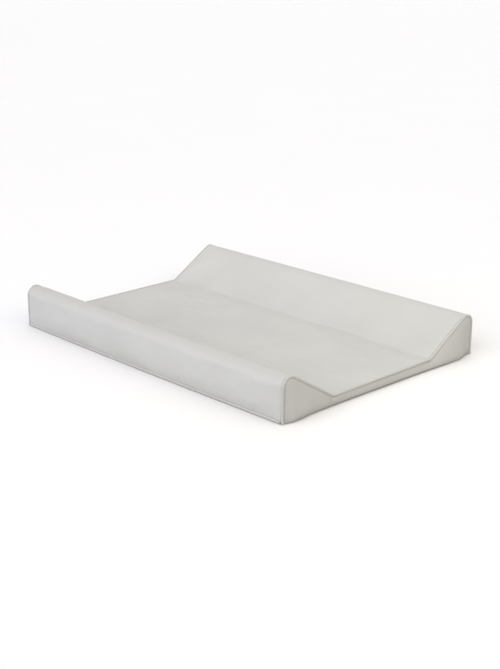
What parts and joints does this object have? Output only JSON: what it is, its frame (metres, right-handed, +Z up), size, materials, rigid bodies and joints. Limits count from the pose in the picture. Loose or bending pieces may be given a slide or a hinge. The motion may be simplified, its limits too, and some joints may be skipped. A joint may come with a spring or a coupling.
{
  "type": "changing pad",
  "caption": "Baby changing pad: stiff board base, flat foam seat between raised wedge sides, and a wipe-clean coated-fabric cover with piped ends and a bound hem.",
  "frame": {"origin": "centre of the underside, on the surface that the pad rests on", "axes": "+X along the raised sides, +Y from the front raised side to the back one, +Z up"},
  "size_m": [0.7, 0.5, 0.08],
  "materials": {
    "coated_fabric": "pale grey vinyl-coated fabric, satin, very fine grain",
    "base_fabric": "pale grey close-woven cloth, matt",
    "piping_cord": "undyed twisted cord",
    "foam": "open-cell polyurethane foam, cream",
    "hardboard": "brown pressed hardboard"
  },
  "bodies": {
    "root": {"cover_top_sheet": "coated_fabric", "left_end_panel": "coated_fabric", "right_end_panel": "coated_fabric", "left_piping_sleeve": "coated_fabric", "right_piping_sleeve": "coated_fabric", "left_piping_cord": "piping_cord", "right_piping_cord": "piping_cord", "base_hem_binding": "coated_fabric", "cover_base_sheet": "base_fabric", "base_board": "hardboard", "front_bolster_foam": "foam", "back_bolster_foam": "foam", "seat_foam": "foam"}
  },
  "joints": []
}
